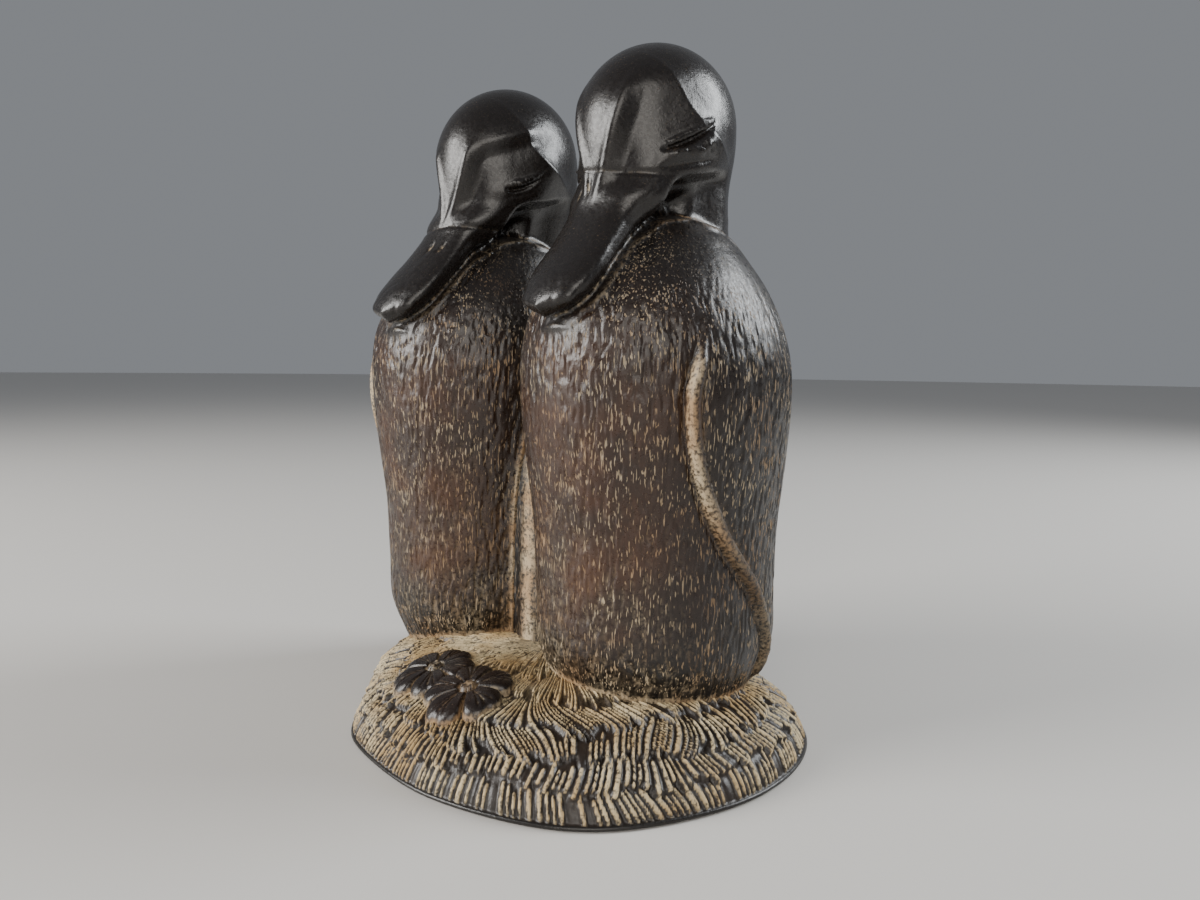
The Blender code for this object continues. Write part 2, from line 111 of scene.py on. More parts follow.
# Head: the ends of the bill's axis, the point it turns about, and the middle, half sizes and tilt of its form
BILL_ROOT = (0.0, -10.0, 86.5)
BILL_TIP = (0.0, -27.5, 65.5)
HEAD_PIVOT = (0.0, 2.0, 0.0)
HEAD_MIDDLE = (0.0, -1.0, 97.0)
HEAD_HALF = (12.9, 16.2, 14.6)
HEAD_TILT = 24.0

# Cheek and tail in the same way, and how softly the bill, the cheeks and the tail are joined on
CHEEK_MIDDLE = (5.2, -4.0, 88.6)
CHEEK_HALF = (6.6, 8.4, 5.2)
TAIL_MIDDLE = (0.0, 20.5, 4.5)
TAIL_HALF = (9.0, 9.0, 3.2)
TAIL_TILT = -24.0
BILL_BLEND = 8.0
CHEEK_BLEND = 3.0
TAIL_BLEND = 2.5

# How softly the neck meets the body in front and at the nape, and a bird the stone beside it
CREASE = 1.5
NAPE = 5.0
WEB_CREASE = 2 * CREASE

# Each bird: foot, turn of the head to its right in degrees, lean of the head towards +X and random seed,
# then where its bill's root line, its nostrils and the bill's middle line were cut, and the sign of X on
# its inner side. Last the height, slope and softness of its brow, the height, slope and curve of its lid,
# how full the pad under the lid is, and the length of the eye.
NEAR_BIRD = {"foot": (0.0173, 0.0074), "turn": 5.0, "lean": 0.0, "seed": 1.0,
             "root_line": 88.2, "nostrils": 5.2, "culmen": -2.4, "inner": -1.0,
             "brow": (103.5, 0.10, 9.0), "lid": (91.0, 0.60, 0.0), "pad": 1.0, "eye": 10.4}
FAR_BIRD = {"foot": (0.0173 - BIRD_SPACING, 0.0103), "turn": 0.0, "lean": 6.0, "seed": 7.0,
            "root_line": 82.6, "nostrils": 12.6, "culmen": 2.4, "inner": 1.0,
            "brow": (96.5, 0.30, 3.6), "lid": (90.0, 0.20, 0.040), "pad": 0.25, "eye": 7.2}

# The stone between the birds: its middle, its half sizes and its grid
WEB_MIDDLE = (NEAR_BIRD["foot"][0] - BIRD_SPACING / 2, 0.0110, 0.0)
WEB_HALF = (0.0090, 0.0132, 0.0730)
WEB_COLUMNS = 120
WEB_ROWS = 120

# Mound: squareness of its outline and its side, how far out its grass reaches, its swells as direction and
# spread in degrees and size, and the lower edges of the grass's tiers as shares of the way down its side
MOUND_SQUARE = 2.3
MOUND_POWER = 3.0
TIER_SHARE = 0.985
MOUND_SWELLS = ((216.0, 30.0, -0.185), (28.0, 24.0, 0.02), (305.0, 35.0, 0.025))
GRASS_TIERS = (0.06, 0.16, 0.30, 0.46, 0.62, 0.78, 0.93)

# Flowers on the mound: name, middle from the mound's middle, size as a share, turn in degrees
FLOWERS = (
    ("flower_back", (-0.0092, -0.0226), 0.95, 20.0),
    ("flower_front", (0.0025, -0.0252), 1.00, 55.0),
)
PETALS = 5

# Wing: height and the angle of its front edge, from straight out to the side towards the back, then how far
# the wing stands out and the heights where that fades, and the same for the rim and the rope cut in it
WING_EDGE = (
    (0.0, 25.0),
    (2.0, 23.0),
    (7.0, 17.0),
    (12.3, 8.5),
    (17.7, -2.5),
    (22.6, -14.5),
    (26.6, -23.5),
    (31.0, -30.5),
    (36.1, -36.5),
    (41.6, -40.5),
    (47.1, -42.5),
    (52.5, -42.5),
    (57.9, -39.0),
    (62.0, -36.0),
)
WING_TOP = (50.0, 70.0)
WING_LIFT = 0.7
RIM_HALF = 1.25
RIM_HEIGHT = 1.15
RIM_TIP = (55.0, 61.5)
ROPE_CUT = 0.16
ROPE_PITCH = 2.6
ROPE_TOP = (24.0, 36.0)
GUTTER_DEPTH = 0.35

# The seam down the back: depth and width, and the heights where it starts and fades
SEAM_DEPTH = 0.6
SEAM_WIDTH = 2.4
SEAM_FOOT = (8.0, 22.0)
SEAM_TOP = (34.0, 58.0)

# Feather strokes: their width and length, how deep they are and how far round a radian of the body reaches
STROKE_SIZE = (0.46, 2.0)
STROKE_DEPTH = 0.22
BODY_REACH = 22.0

# Face: where the eye's front end lies, and lines that run back from there, each a height there and a slope
EYE_FRONT = -11.3
PAD = (89.8, 0.27)
FOLD = (87.9, 0.26)
JAW = (86.5, 0.22)

# Eye: how far the lid, the pad and the pad's bumps stand out, how deep the slit and the fold are, and how
# far the slit runs under the lid
LID_HEIGHT = 0.50
PAD_HEIGHT = 0.60
PAD_BUMPS = 0.85
SLIT_DEPTH = 0.75
FOLD_DEPTH = 0.35
SLIT_GAP = 1.15

# The hollow of the neck: heights and how far forward it starts at each, and how deep it is
HOLLOW = ((70.0, -19.0), (74.9, -14.0), (78.5, -10.6), (82.1, -9.6), (84.7, -9.0), (88.0, -7.6))
HOLLOW_DEPTH = 2.3

# The collar: how deep the body is sunk round the neck, and how far off the neck's crease its raised line
# runs under the bill and on the shoulder
COLLAR_DEPTH = 0.8
BEAD_OFF = (1.6, 4.4)
BEAD_HEIGHT = 0.30

# The corner that runs up the forehead from the bill: distance round from the front, its slope and the height
# of its foot, then how deep the flat side behind it lies and how far round a radian of the head reaches
CORNER = (2.0, 0.26)
CORNER_FOOT = 88.9
FLAT_DEPTH = 1.4
CORNER_HEIGHT = 0.40
HEAD_REACH = 14.0

# Bill: the nail's distance along it, half length and half width, how far below the axis the edge and the
# tuck under it run, and the height or depth of each line and cut
NAIL = (26.0, 4.6, 3.1)
EDGE_DROP = 2.8
TUCK_DROP = 5.0
ROOT_LINE_DEPTH = 0.22
RIDGE_HEIGHT = 0.15
NOSTRIL_DEPTH = 0.55
NAIL_DEPTH = 0.10
EDGE_HEIGHT = 0.40
TUCK_DEPTH = 0.5

# How much pale dust lies in each place of a bird: at its foot, against the other bird, against the stone
# between them, in the neck's crease, on the collar line, and on the front, the edges and all of a wing rim.
# On the rim's front the pale colour is partly a painted highlight.
FOOT_DUST = 0.70
SIDE_DUST = 0.62
WEB_DUST = 0.30
NECK_DUST = 0.42
BEAD_DUST = 0.26
RIM_FRONT_DUST_AND_HIGHLIGHT = 0.40
RIM_EDGE_DUST = 0.16
RIM_DUST = 0.12

# Mesh sizes: columns round and rows up each grid, and for the heads each pass's voxel and settling steps
BODY_COLUMNS = 680
BODY_ROWS = 112
MOUND_COLUMNS = 1080
MOUND_ROWS = 90
FLOWER_COLUMNS = 240
FLOWER_ROWS = 36
HEAD_PASSES = ((0.0012, 6), (0.00034, 4))

# Settling: the longest move of a step, the distance over which a slope is felt and the least slope
SETTLE_REACH = 0.0015
PROBE = 0.00002
LEAST_SLOPE = 0.05

# Where a body ends and its head begins: mean height, and how much lower in front and higher behind, and
# how far the head's piece laps into the body and how steeply the lap is tucked in
NECK_CUT = 71.0
NECK_CUT_SLOPE = 14.5
NECK_LAP = 1.2
NECK_TUCK = 0.08
BODY_SOLE = -7.0

# How the bodies' grids are found: how wide they start, the share of each step and the number of steps
START_RADIUS = 34.0
STEP_SHARE = 0.85
STEPS = 26


def curve_through(at, knots, values):
    """A cubic through the knots, each with the slope of its neighbours, and straight on past the ends."""
    knots = np.asarray(knots, float)
    values = np.asarray(values, float)
    slopes = np.gradient(values, knots)
    i = np.clip(np.searchsorted(knots, at) - 1, 0, len(knots) - 2)
    span = knots[i + 1] - knots[i]
    t = np.clip((at - knots[i]) / span, 0.0, 1.0)
    cubic = (
        values[i] * (1 + 2 * t) * (1 - t) ** 2
        + values[i + 1] * t * t * (3 - 2 * t)
        + span * (slopes[i] * t * (1 - t) ** 2 - slopes[i + 1] * t * t * (1 - t))
    )
    below = np.minimum(at - knots[0], 0.0) * slopes[0]
    above = np.maximum(at - knots[-1], 0.0) * slopes[-1]
    return cubic + below + above


def rise(value, low, high):
    """0 below low, 1 above high and an S-curve between."""
    t = np.clip((value - low) / (high - low), 0.0, 1.0)
    return t * t * (3 - 2 * t)


def groove(distance, width):
    """1 along a line and falling away over the width."""
    return np.exp(-((distance / width) ** 2))


def fillet(a, b, softness):
    """How much a join of two fields swells near where they are equal."""
    near = np.maximum(softness - np.abs(a - b), 0.0)
    return near * near / (4.0 * softness)


def blend(a, b, softness):
    """Two fields joined, with a soft fillet where they meet."""
    return np.minimum(a, b) - fillet(a, b, softness)


def noise(u, v, seed):
    """Smooth random numbers from 0 to 1 over a plane, the same in every run."""
    i = np.floor(u)
    j = np.floor(v)
    a = (u - i) ** 2 * (3 - 2 * (u - i))
    b = (v - j) ** 2 * (3 - 2 * (v - j))

    def corner(x, y):
        number = np.sin(x * 127.1 + y * 311.7 + seed * 74.7) * 43758.5453
        return number - np.floor(number)

    low = corner(i, j) * (1 - a) + corner(i + 1, j) * a
    high = corner(i, j + 1) * (1 - a) + corner(i + 1, j + 1) * a
    return low * (1 - b) + high * b


def turned(p, middle, degrees, axis):
    """Points seen from a frame that is turned about an axis (0, 1 or 2) through a middle."""
    angle = np.radians(degrees)
    u, v = [k for k in range(3) if k != axis]
    q = p - np.asarray(middle)
    out = q.copy()
    out[:, u] = np.cos(angle) * q[:, u] + np.sin(angle) * q[:, v]
    out[:, v] = np.cos(angle) * q[:, v] - np.sin(angle) * q[:, u]
    return out


def egg(q, half):
    """Distance to an ellipsoid round the origin, near its surface."""
    half = np.asarray(half)
    length = np.linalg.norm(q / half, axis=1)
    slope = np.linalg.norm(q / half ** 2, axis=1)
    return length * (length - 1.0) / np.maximum(slope, 1e-9)


def stack(p, stations):
    """Distance to a pile of ovals along Z, each with its own half width, front and back."""
    z = p[:, 2]
    knots, wide, front, back = np.transpose(stations)
    half = curve_through(z, knots, wide)
    lean = curve_through(z + 0.5, knots, wide) - curve_through(z - 0.5, knots, wide)
    reach = np.where(p[:, 1] < 0, curve_through(z, knots, front), curve_through(z, knots, back))
    round_ = np.hypot(p[:, 0], p[:, 1] / reach)
    return (round_ - half) / np.sqrt(1.0 + lean * lean)


def bill_axes():
    """The bill's root and the ways along it, to its side and up out of it."""
    root = np.array(BILL_ROOT)
    along = np.array(BILL_TIP) - root
    along = along / np.linalg.norm(along)
    side = np.array((1.0, 0.0, 0.0))
    return root, along, side, np.cross(along, side)


def bill_place(q):
    """How far along, to the side of and above the bill's axis each point is."""
    root, along, side, above = bill_axes()
    d = q - root
    return d @ along, d @ side, d @ above


def bill_field(q):
    """Distance to the bill, an oval that changes along its axis and is cut square at its root."""
    t, s, n = bill_place(q)
    knots, wide, culmen, keel = np.transpose(BILL)
    half = curve_through(t, knots, wide)
    lean = curve_through(t + 0.5, knots, wide) - curve_through(t - 0.5, knots, wide)
    tall = np.where(n > 0, curve_through(t, knots, culmen), curve_through(t, knots, keel))
    tall = np.maximum(tall, 0.3)
    shrink = np.minimum(half / tall, 2.2)
    round_ = np.hypot(s, n * np.maximum(half, 0.5) / tall)
    field = (round_ - half) / np.sqrt(shrink ** 2 * 0.5 + lean * lean + 0.5)
    return np.maximum(field, BILL[0][0] - t)


def bird_frame(p, bird):
    """World points in the bird's grid, with the head's lean taken out."""
    foot = np.array((*bird["foot"], STANDING_LEVEL))
    q = (p - foot) / UNIT
    q[:, 0] -= bird["lean"] * rise(q[:, 2], *LEAN_RISE)
    return q


def to_world(points, bird, in_head=False):
    """Grid points of a bird back in the world."""
    q = np.array(points, float)
    if in_head:
        q = turned(q, HEAD_PIVOT, bird["turn"], 2) + HEAD_PIVOT
    q[:, 0] += bird["lean"] * rise(q[:, 2], *LEAN_RISE)
    return q * UNIT + np.array((*bird["foot"], STANDING_LEVEL))


def above_line(h, line):
    """How far points of the head's grid lie above a line of the face."""
    height, slope = line
    return h[:, 2] - height - slope * (h[:, 1] - EYE_FRONT)


def neck_hollow(h):
    """How far the neck is hollowed at each point of the head's grid, under the jaw and behind the bill."""
    jaw = above_line(h, JAW)
    heights, fronts = np.transpose(HOLLOW)
    behind = h[:, 1] - curve_through(h[:, 2], heights, fronts)
    hollow = rise(behind, -0.2, 2.6) * rise(-jaw, -0.2, 1.6) * (1.0 - rise(h[:, 1], 1.0, 9.0))
    return HOLLOW_DEPTH * hollow * rise(np.abs(h[:, 0]), 2.0, 5.0) * rise(h[:, 2], 66.0, 72.0)


def collar_offset(q):
    """How far off the neck's crease the collar line runs: close under the bill, further on the shoulder."""
    near_neck, on_shoulder = BEAD_OFF
    return near_neck + (on_shoulder - near_neck) * rise(q[:, 1], -15.0, -5.0)


def plain_bird(p, bird):
    """Distance to a bird without its carving, to its body alone and to its neck and head, and its grids."""
    q = bird_frame(p, bird)
    h = turned(q, HEAD_PIVOT, -bird["turn"], 2) + HEAD_PIVOT
    body = stack(q, BODY)
    foot, top = NECK_ENDS
    neck = np.maximum(stack(q, NECK), foot - q[:, 2])
    neck = np.maximum(neck, q[:, 2] - top)
    head = egg(turned(h, HEAD_MIDDLE, HEAD_TILT, 0), HEAD_HALF)
    mirrored = np.abs(h[:, :1])
    cheek = egg(np.hstack((mirrored, h[:, 1:])) - CHEEK_MIDDLE, CHEEK_HALF)
    head = blend(head, cheek, CHEEK_BLEND)
    head = blend(head, bill_field(h), BILL_BLEND)
    soft = CREASE + (NAPE - CREASE) * rise(q[:, 1], 5.0, 14.0)
    upper = blend(neck, head, soft) + neck_hollow(h)
    sunk = 1.0 - rise(upper - body, -0.5, collar_offset(q) - 0.4)
    sunk = sunk * rise(q[:, 1], -15.0, -9.0) * (1.0 - rise(q[:, 1], 0.0, 7.0)) * rise(q[:, 2], 64.0, 70.0)
    body = body + COLLAR_DEPTH * sunk
    field = blend(body, upper, soft)
    tail = egg(turned(q, TAIL_MIDDLE, TAIL_TILT, 0), TAIL_HALF)
    return blend(field, tail, TAIL_BLEND), body, upper, q, h


def web_field(p):
    """Distance to the stone that joins the birds' sides behind the crease between them, in grid units."""
    d = (p - WEB_MIDDLE) / np.array(WEB_HALF)
    narrow = np.clip(1.0 - d[:, 2] ** 6, -1.0, 1.0)
    return (np.hypot(d[:, 0], d[:, 1]) - narrow) * WEB_HALF[0] / UNIT


def mound_outline(angle):
    """How far the mound's edge lies from the middle, before it is fitted to its width and depth."""
    tall = np.abs(np.sin(angle) * MOUND_WIDTH / MOUND_DEPTH)
    ellipse = (np.abs(np.cos(angle)) ** MOUND_SQUARE + tall ** MOUND_SQUARE) ** (-1 / MOUND_SQUARE)
    swell = 0.008 * np.sin(5 * angle + 0.6) + 0.006 * np.sin(9 * angle + 2.0)
    for towards, spread, size in MOUND_SWELLS:
        off = (np.degrees(angle) - towards + 180.0) % 360.0 - 180.0
        swell = swell + size * np.exp(-((off / spread) ** 2))
    return ellipse * (1.0 + swell)


def fitted_outline():
    """The scale and shift on each axis that bring the outline to its width and depth round the origin."""
    angle = np.linspace(0.0, 2 * np.pi, 1441)
    r = mound_outline(angle)
    x = r * np.cos(angle)
    y = r * np.sin(angle)
    fit = []
    for line, size in ((x, MOUND_WIDTH), (y, MOUND_DEPTH)):
        fit.append((size / (line.max() - line.min()), (line.max() + line.min()) / 2))
    return fit


OUTLINE_FIT = fitted_outline()


def on_mound(share, angle):
    """The x and y of points at a share of the way out to the mound's edge."""
    (scale_x, shift_x), (scale_y, shift_y) = OUTLINE_FIT
    edge = mound_outline(angle) * share
    return (edge * np.cos(angle) - shift_x) * scale_x, (edge * np.sin(angle) - shift_y) * scale_y


def mound_top(x, y):
    """The height of the mound's smooth top at x and y."""
    (scale_x, shift_x), (scale_y, shift_y) = OUTLINE_FIT
    plain_x = x / scale_x + shift_x
    plain_y = y / scale_y + shift_y
    share = np.hypot(plain_x, plain_y) / mound_outline(np.arctan2(plain_y, plain_x))
    return MOUND_HEIGHT * np.sqrt(np.clip(1.0 - share ** MOUND_POWER, 0.0, 1.0))


def wing_carving(q, inner):
    """The raised wing, the rounded rim along its front edge and the seam down the back."""
    z = q[:, 2]
    outward = np.degrees(np.arctan2(q[:, 1], np.abs(q[:, 0])))
    reach = np.radians(np.hypot(q[:, 0], q[:, 1]))
    knots, edges = np.transpose(WING_EDGE)
    slant = (curve_through(z + 0.5, knots, edges) - curve_through(z - 0.5, knots, edges)) * reach
    behind = (outward - curve_through(z, knots, edges)) * reach / np.sqrt(1.0 + slant * slant)
    there = rise(z, -2.0, 1.5)
    open_side = 1.0 - rise(q[:, 0] * inner, 0.0, 6.0) * (1.0 - rise(q[:, 1], 6.0, 12.0))
    there = there * open_side
    tip = 1.0 - rise(z, *RIM_TIP)
    half = RIM_HALF * (0.35 + 0.65 * tip) * (0.8 + 0.2 * rise(z, 14.0, 34.0))
    across = np.clip((behind - half) / half, -1.0, 1.0)
    rope = np.sin(2 * np.pi * (z + 0.8 * behind) / ROPE_PITCH)
    twist = 1.0 + ROPE_CUT * rope * (1.0 - rise(z, *ROPE_TOP))
    rim = RIM_HEIGHT * tip * twist * np.sqrt(np.maximum(1.0 - across * across, 0.0))
    plate = WING_LIFT * (1.0 - rise(z, *WING_TOP)) * rise(behind, -0.3, 0.9)
    gutter = GUTTER_DEPTH * tip * (groove(behind + 0.3, 0.5) + 0.8 * groove(behind - 2 * half - 0.3, 0.5))
    seam = groove((90.0 - outward) * reach, SEAM_WIDTH) * rise(z, *SEAM_FOOT) * (1.0 - rise(z, *SEAM_TOP))
    relief = (plate + rim - gutter - SEAM_DEPTH * seam) * there
    on_rim = tip * (np.abs(across) < 0.98) * there
    edges_of_rim = tip * there * (groove(behind + 0.2, 0.6) + groove(behind - 2 * half - 0.3, 0.6))
    return relief, on_rim, edges_of_rim, across


def feather_strokes(angle, z, seed):
    """Short wavy cuts that run down the feathers: 1 in the middle of a cut and 0 between them."""
    around = angle * BODY_REACH
    sway = 1.6 * (noise(around / 5.0, z / 4.5, seed + 3) - 0.5)
    wide, long_ = STROKE_SIZE
    first = noise((around + sway) / wide, z / long_, seed)
    second = noise((around - sway) / (1.3 * wide), z / (0.7 * long_) + 9.0, seed + 1)
    return np.maximum(rise(first, 0.52, 0.86), 0.8 * rise(second, 0.60, 0.90))


def eye_carving(h, bird):
    """The closed eye: its lid, the slit, and the rough pad and the fold under it."""
    side = rise(np.abs(h[:, 0]), 5.0, 8.0)
    back = h[:, 1] - EYE_FRONT
    height, slope, curve = bird["lid"]
    lid = above_line(h, (height, slope)) - curve * back * back
    length = bird["eye"]
    lens = np.sqrt(np.clip(1.0 - ((back - length / 2 - 0.6) / (length / 2)) ** 2, 0.0, 1.0))
    ends = rise(back, 0.2, 2.0) * (1.0 - rise(back, length - 3.6, length + 1.0)) * side
    ridge = groove(lid, 0.30 + 0.30 * lens) * ends
    slit = groove(lid + SLIT_GAP * lens, 0.25 + 0.25 * lens) * ends
    rough = noise(h[:, 1] / 1.15, h[:, 2] / 1.0, 5.0) - 0.5
    pad_half = 0.8 + 0.06 * np.clip(back, 0.0, 10.0)
    bumps = groove(above_line(h, PAD) - 0.2, pad_half) * ends * bird["pad"]
    crease = groove(above_line(h, FOLD), 0.42) * ends * (0.4 + 0.6 * bird["pad"])
    relief = LID_HEIGHT * ridge - SLIT_DEPTH * slit - FOLD_DEPTH * crease
    relief = relief + (PAD_HEIGHT + PAD_BUMPS * rough) * bumps
    # The pale in the slit and the fold is dust; the pale on the pad's bumps and along the lid's ridge is a
    # painted highlight
    dust_and_sheen = 0.12 * slit + 0.14 * crease + 0.12 * bumps * rise(rough, -0.1, 0.25)
    return relief, dust_and_sheen + 0.12 * groove(lid, 0.4) * ends


def face_carving(h, bird):
    """The flat side of the head and its corner, the eye, and the carving of the bill."""
    round_ = np.arctan2(np.abs(h[:, 0]), -1.0 - h[:, 1]) * HEAD_REACH
    off = round_ - CORNER[0] - CORNER[1] * (h[:, 2] - CORNER_FOOT)
    brow, brow_slope, brow_soft = bird["brow"]
    below_brow = brow + brow_slope * round_ - h[:, 2]
    flat = rise(off, 0.2, 3.4) * (1.0 - rise(round_, 12.0, 24.0)) * rise(h[:, 2], 83.0, 88.0)
    flat = flat * rise(below_brow, 0.0, brow_soft)
    corner = groove(off, 0.9) * rise(h[:, 2], 81.0, 86.0) * rise(below_brow, -1.0, 0.5 * brow_soft)
    relief, dust_and_sheen = eye_carving(h, bird)
    relief = relief - FLAT_DEPTH * flat + CORNER_HEIGHT * corner
    t, s, n = bill_place(h)
    s = s - bird["culmen"] * rise(t, -2.0, 4.0) * (1.0 - rise(t, 8.0, 26.0))
    on_top = rise(n, -1.0, 0.6)
    front = 1.0 - rise(round_, 10.0, 14.0)
    line = groove(h[:, 2] - bird["root_line"] + 0.10 * np.abs(s), 0.42) * front
    ridge = groove(s, 0.9) * rise(t, 4.0, 8.0) * (1.0 - rise(t, 16.0, 22.0)) * on_top
    slot = np.hypot((t - bird["nostrils"]) / 1.3, (np.abs(s) - 1.45) / 0.42)
    nostril = np.exp(-slot ** 2) * on_top
    nail_place, nail_length, nail_width = NAIL
    nail = groove(np.hypot((t - nail_place) / nail_length, s / nail_width) - 1.0, 0.12) * on_top
    under = rise(t, 1.0, 5.0) * (1.0 - rise(t, 23.0, 27.0)) * rise(np.abs(s), 3.0, 5.0)
    edge = groove(n + EDGE_DROP, 1.7) * under
    tuck = groove(n + TUCK_DROP, 0.9) * under
    relief = relief - ROOT_LINE_DEPTH * line + RIDGE_HEIGHT * ridge - NOSTRIL_DEPTH * nostril
    relief = relief - NAIL_DEPTH * nail + EDGE_HEIGHT * edge - TUCK_DEPTH * tuck
    dust_and_sheen = dust_and_sheen + 0.16 * line + 0.40 * nostril + 0.05 * nail
    return relief, dust_and_sheen


def carved_bird(p, bird, other):
    """Distance to one carved bird, swollen into what it touches, and the marks on its surface."""
    field, body, upper, q, h = plain_bird(p, bird)
    rival = plain_bird(p, other)[0]
    web = web_field(p)
    angle = np.arctan2(q[:, 0], -q[:, 1])
    z = q[:, 2]
    seed = bird["seed"]

    # Where each kind of carving is
    mine = rise(np.minimum(rival, web) - field, -0.2, 1.2)
    on_body = rise(upper - body, 0.3, 2.4)
    on_head = (1.0 - rise(upper - body, -1.6, -0.2)) * rise(z, 60.0, 66.0)
    smooth = rise(z, 60.0, 72.0) * rise(np.abs(angle), 0.4, 0.9)
    round_throat = 1.0 - rise(q[:, 1], 3.0, 9.0)

    # The carving
    relief, on_rim, rim_edges, across = wing_carving(q, bird["inner"])
    cuts = feather_strokes(angle, z, seed) * on_body * (1.0 - 0.9 * on_rim)
    cuts = cuts * (1.0 - 0.85 * smooth)
    bead = groove(upper - body - collar_offset(q), 0.55) * rise(z, 62.0, 66.0) * round_throat
    face, face_dust_and_sheen = face_carving(h, bird)
    relief = relief * on_body - STROKE_DEPTH * cuts + BEAD_HEIGHT * bead + face * on_head
    swell = fillet(field, rival, CREASE) + fillet(field, web, WEB_CREASE)
    level = field - swell - relief * mine

    # The marks
    above_mound = (p[:, 2] - mound_top(p[:, 0], p[:, 1])) / UNIT
    low = 1.0 - rise(above_mound, 1.0, 14.0)
    patch = noise(angle * 3.5, z / 9.0, seed + 11)
    beside = groove(rival - field, 2.6) * rise(z, -2.0, 3.0) * (1.0 - rise(z, 58.0, 66.0))
    neck_crease = groove(upper - body, 0.5) * rise(z, 60.0, 64.0) * round_throat
    # The rim's front is made pale partly with dust and partly with a painted highlight
    rim_front = on_rim * (1.0 - rise(across, -0.2, 0.6)) * rise(z, 20.0, 36.0)
    dust_and_sheen = cuts * (0.05 + 0.10 * patch + 0.12 * low)
    dust_and_sheen = dust_and_sheen + FOOT_DUST * groove(above_mound, 0.7) + SIDE_DUST * beside
    dust_and_sheen = dust_and_sheen + WEB_DUST * groove(web - field, 1.0) * (q[:, 1] < 6.0)
    dust_and_sheen = dust_and_sheen + NECK_DUST * neck_crease + BEAD_DUST * bead
    dust_and_sheen = dust_and_sheen + RIM_FRONT_DUST_AND_HIGHLIGHT * rim_front + RIM_EDGE_DUST * rim_edges + RIM_DUST * on_rim
    dust_and_sheen = dust_and_sheen + face_dust_and_sheen * on_head
    # Brown on the front of the chest: partly the stone's own brown, partly a painted warm reflection
    warm = on_body * groove(angle - 0.15, 0.75) * rise(z, 4.0, 18.0) * (1.0 - rise(z, 48.0, 76.0))
    polish = on_head + 0.6 * (1.0 - on_head) * (1.0 - 0.4 * low)
    dash = on_body * (0.45 + 0.35 * patch + 0.35 * low) * (1.0 - 0.8 * smooth) * (1.0 - 0.8 * on_rim)
    return level, np.clip(dust_and_sheen, 0.0, 1.0), warm, np.clip(polish, 0.0, 1.0), np.clip(dash, 0.0, 1.0)


def settle(points, field, steps):
    """Moves points onto a field's surface, a little at a time along its slope."""
    points = points.copy()
    for _ in range(steps):
        level = field(points)
        slope = np.empty_like(points)
        for axis in range(3):
            probe = points.copy()
            probe[:, axis] += PROBE
            slope[:, axis] = (field(probe) - level) / PROBE
        steep = np.maximum((slope ** 2).sum(axis=1), LEAST_SLOPE)
        move = slope * (level / steep)[:, None]
        size = np.linalg.norm(move, axis=1)
        points -= move * np.minimum(1.0, SETTLE_REACH / np.maximum(size, 1e-12))[:, None]
    return points


def neck_cut(q):
    """The height where the body's piece ends, lower in front and higher behind."""
    return NECK_CUT + NECK_CUT_SLOPE * q[:, 1] / np.maximum(np.hypot(q[:, 0], q[:, 1]), 1e-6)


def ring_faces(rows, columns):
    """Quads between rings of points, from the lowest ring up, as a list."""
    corner = np.arange(rows - 1)[:, None] * columns + np.arange(columns)
    after = np.arange(rows - 1)[:, None] * columns + (np.arange(columns) + 1) % columns
    quads = np.stack((corner, after, after + columns, corner + columns), axis=-1)
    return quads.reshape(-1, 4).tolist()


# What is marked on every surface: pale dust, which also paints highlights on the eyes and wing rims, brown
# stone, which also paints a warm reflection on the birds' chests, polish, and fine pale dashes along the
# feathers
MARKS = ("dust_and_sheen", "warm", "polish", "dash")


def piece(name, points, faces, marks, material):
    """A smooth mesh piece of the carving, with the marks of its surface as attributes."""
    mesh = bpy.data.meshes.new(name)
    mesh.from_pydata((points - BLOCK_MIDDLE).tolist(), [], faces)
    for label, values in zip(MARKS, marks):
        mesh.attributes.new(label, "FLOAT", "POINT").data.foreach_set("value", values.astype(np.float32))
    mesh.materials.append(material)
    mesh.shade_smooth()
    obj = bpy.data.objects.new(name, mesh)
    bpy.context.scene.collection.objects.link(obj)
    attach(obj, "root")
    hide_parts("duck_pair")
    return obj


def body_piece(name, bird, other, material):
    """A bird's body as a grid of columns and rows whose points lie on its carved field."""
    turn = np.linspace(-np.pi, np.pi, BODY_COLUMNS, endpoint=False)
    angle, up = [a.ravel() for a in np.meshgrid(turn, np.linspace(0.0, 1.0, BODY_ROWS))]
    top = NECK_CUT - NECK_CUT_SLOPE * np.cos(angle)
    z = BODY_SOLE + (top - BODY_SOLE) * up
    radius = np.full(len(z), START_RADIUS)
    for _ in range(STEPS):
        q = np.column_stack((radius * np.sin(angle), -radius * np.cos(angle), z))
        radius = radius - STEP_SHARE * carved_bird(to_world(q, bird), bird, other)[0]
    q = np.column_stack((radius * np.sin(angle), -radius * np.cos(angle), z))
    points = to_world(q, bird)
    marks = carved_bird(points, bird, other)[1:]
    return piece(name, points, ring_faces(BODY_ROWS, BODY_COLUMNS), marks, material)


def skin(bm, rings):
    """A closed skin over rings of the same number of points, capped at both ends."""
    loops = [[bm.verts.new(point) for point in ring] for ring in rings]
    count = len(loops[0])
    for low, high in zip(loops, loops[1:]):
        for k in range(count):
            bm.faces.new((low[k], low[(k + 1) % count], high[(k + 1) % count], high[k]))
    bm.faces.new(loops[0][::-1])
    bm.faces.new(loops[-1])


def pile_rings(stations, sides=40):
    """The rings of a pile of ovals that have a width."""
    angle = np.arange(sides) * 2 * np.pi / sides
    rings = []
    for z, half, front, back in stations:
        if half > 0.4:
            reach = half * np.where(np.sin(angle) < 0, front, back)
            rings.append(np.column_stack((half * np.cos(angle), reach * np.sin(angle), np.full(sides, z))))
    return rings


